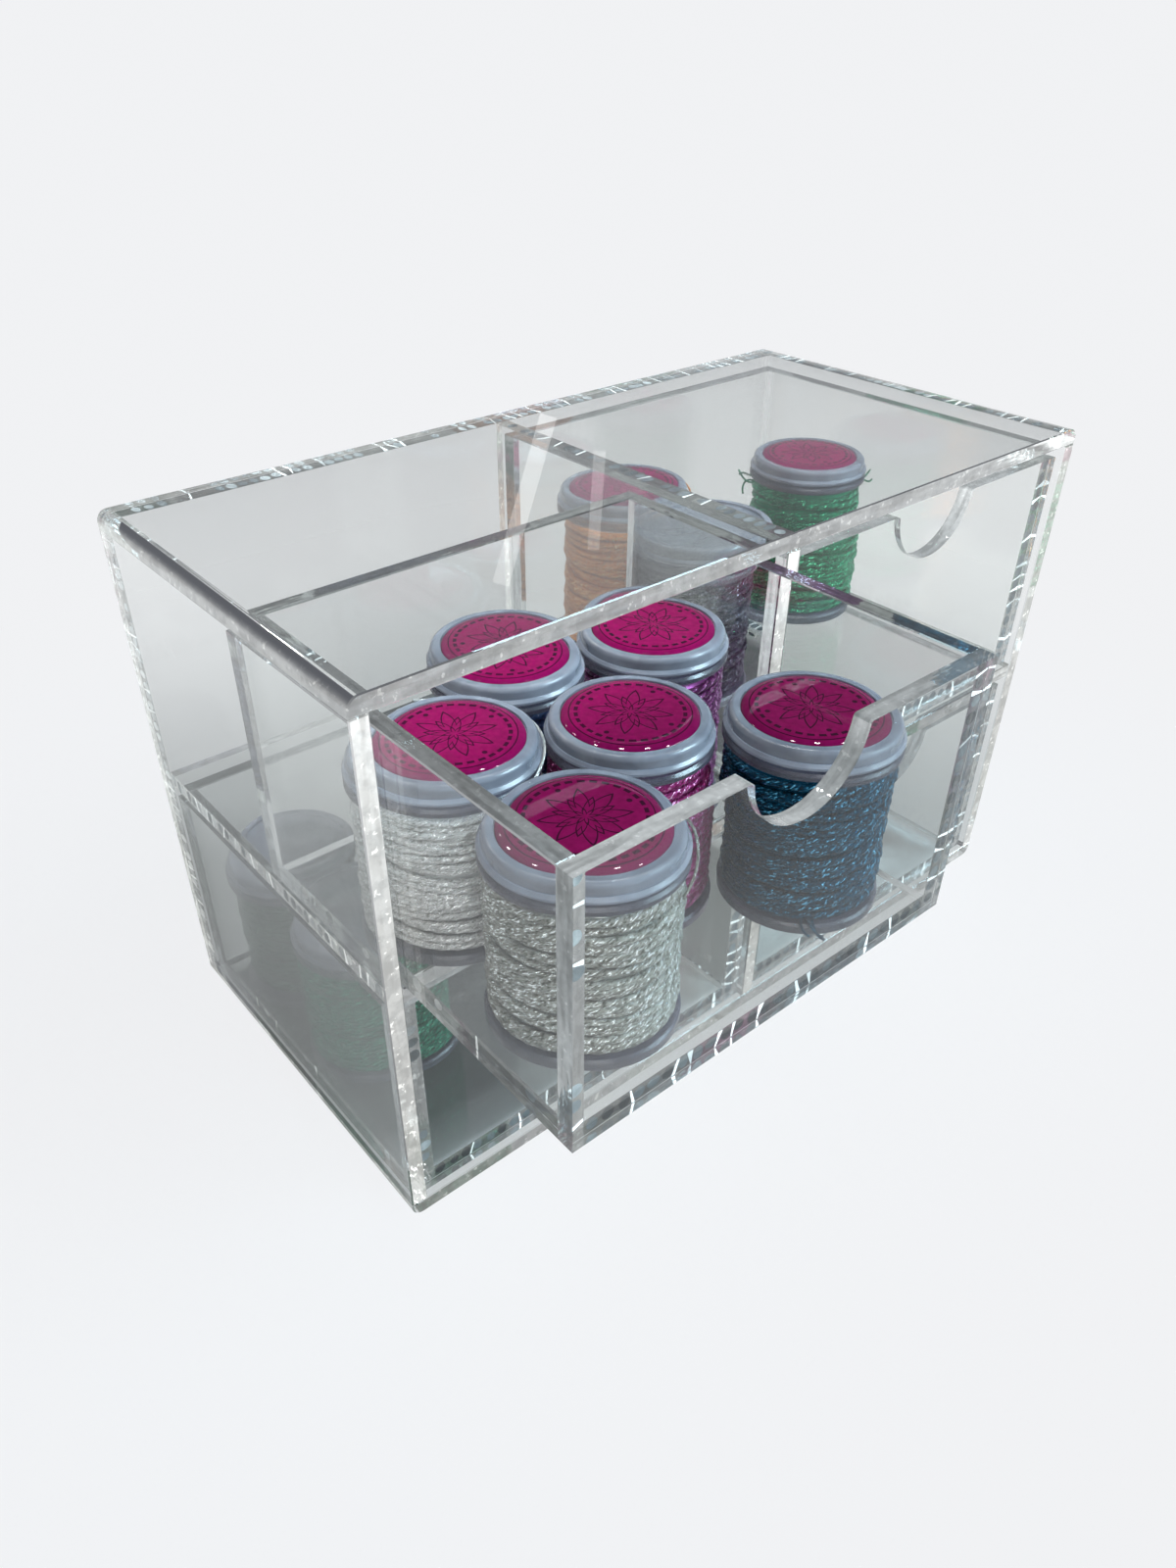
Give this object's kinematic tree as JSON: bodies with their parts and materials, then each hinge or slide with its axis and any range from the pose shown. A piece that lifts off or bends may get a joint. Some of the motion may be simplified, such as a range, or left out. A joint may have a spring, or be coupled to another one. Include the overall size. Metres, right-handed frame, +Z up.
{
  "type": "embroidery thread drawer box",
  "caption": "Clear acrylic drawer box with four sliding drawers with half-round finger notches, holding snap spools of metallic embroidery thread.",
  "frame": {"origin": "on the underside of the case, under its middle", "axes": "+X to the right seen from the front, +Y to the back, +Z up; the drawers open towards -Y"},
  "size_m": [0.16, 0.1166, 0.102],
  "materials": {
    "case_acrylic": "clear polished cast acrylic sheet, 3 mm",
    "drawer_acrylic": "clear polished cast acrylic sheet, 2.8 mm",
    "spool_plastic": "translucent frosted polypropylene",
    "domed_label": "magenta printed disc under a clear resin dome",
    "pearl_thread": "twisted metallic embroidery thread, iridescent white",
    "navy_thread": "twisted metallic embroidery thread, navy blue",
    "silver_thread": "twisted metallic embroidery thread, silver grey",
    "magenta_thread": "twisted metallic embroidery thread, magenta pink",
    "purple_thread": "twisted metallic embroidery thread, dark purple",
    "teal_thread": "twisted metallic embroidery thread, dark teal blue",
    "peach_thread": "twisted metallic embroidery thread, peach gold",
    "charcoal_thread": "twisted metallic embroidery thread, charcoal with a purple cast",
    "green_thread": "twisted metallic embroidery thread, emerald green",
    "olive_thread": "twisted metallic embroidery thread, dark grey green",
    "emerald_thread": "twisted metallic embroidery thread, emerald green"
  },
  "bodies": {
    "case": {"case_bottom": "case_acrylic", "case_top": "case_acrylic", "case_left_side": "case_acrylic", "case_right_side": "case_acrylic", "case_back": "case_acrylic", "case_shelf": "case_acrylic", "upper_divider": "case_acrylic", "lower_divider": "case_acrylic"},
    "upper_left_drawer": {"upper_left_drawer_front": "drawer_acrylic", "upper_left_drawer_back": "drawer_acrylic", "upper_left_drawer_left_side": "drawer_acrylic", "upper_left_drawer_right_side": "drawer_acrylic", "upper_left_drawer_floor": "drawer_acrylic", "bobbin_pearl": "spool_plastic", "thread_pearl": "pearl_thread", "bobbin_navy": "spool_plastic", "thread_navy": "navy_thread", "bobbin_silver": "spool_plastic", "thread_silver": "silver_thread", "bobbin_magenta": "spool_plastic", "thread_magenta": "magenta_thread", "bobbin_purple": "spool_plastic", "thread_purple": "purple_thread", "bobbin_teal": "spool_plastic", "thread_teal": "teal_thread", "snap_caps_upper_left": "spool_plastic", "labels_upper_left": "domed_label"},
    "upper_right_drawer": {"upper_right_drawer_front": "drawer_acrylic", "upper_right_drawer_back": "drawer_acrylic", "upper_right_drawer_left_side": "drawer_acrylic", "upper_right_drawer_right_side": "drawer_acrylic", "upper_right_drawer_floor": "drawer_acrylic", "bobbin_peach": "spool_plastic", "thread_peach": "peach_thread", "bobbin_charcoal": "spool_plastic", "thread_charcoal": "charcoal_thread", "bobbin_green": "spool_plastic", "thread_green": "green_thread", "snap_caps_upper_right": "spool_plastic", "labels_upper_right": "domed_label"},
    "lower_left_drawer": {"lower_left_drawer_front": "drawer_acrylic", "lower_left_drawer_back": "drawer_acrylic", "lower_left_drawer_left_side": "drawer_acrylic", "lower_left_drawer_right_side": "drawer_acrylic", "lower_left_drawer_floor": "drawer_acrylic", "bobbin_olive": "spool_plastic", "thread_olive": "olive_thread", "bobbin_emerald": "spool_plastic", "thread_emerald": "emerald_thread", "snap_caps_lower_left": "spool_plastic"},
    "lower_right_drawer": {"lower_right_drawer_front": "drawer_acrylic", "lower_right_drawer_back": "drawer_acrylic", "lower_right_drawer_left_side": "drawer_acrylic", "lower_right_drawer_right_side": "drawer_acrylic", "lower_right_drawer_floor": "drawer_acrylic"}
  },
  "joints": [
    {"name": "upper_left_drawer_slide", "type": "slide", "parent": "case", "child": "upper_left_drawer", "axis": [0, -1, 0], "range_m": [-0.0392, 0.0408]},
    {"name": "upper_right_drawer_slide", "type": "slide", "parent": "case", "child": "upper_right_drawer", "axis": [0, -1, 0], "range_m": [0, 0.08]},
    {"name": "lower_left_drawer_slide", "type": "slide", "parent": "case", "child": "lower_left_drawer", "axis": [0, -1, 0], "range_m": [0, 0.08]},
    {"name": "lower_right_drawer_slide", "type": "slide", "parent": "case", "child": "lower_right_drawer", "axis": [0, -1, 0], "range_m": [0, 0.08]}
  ]
}
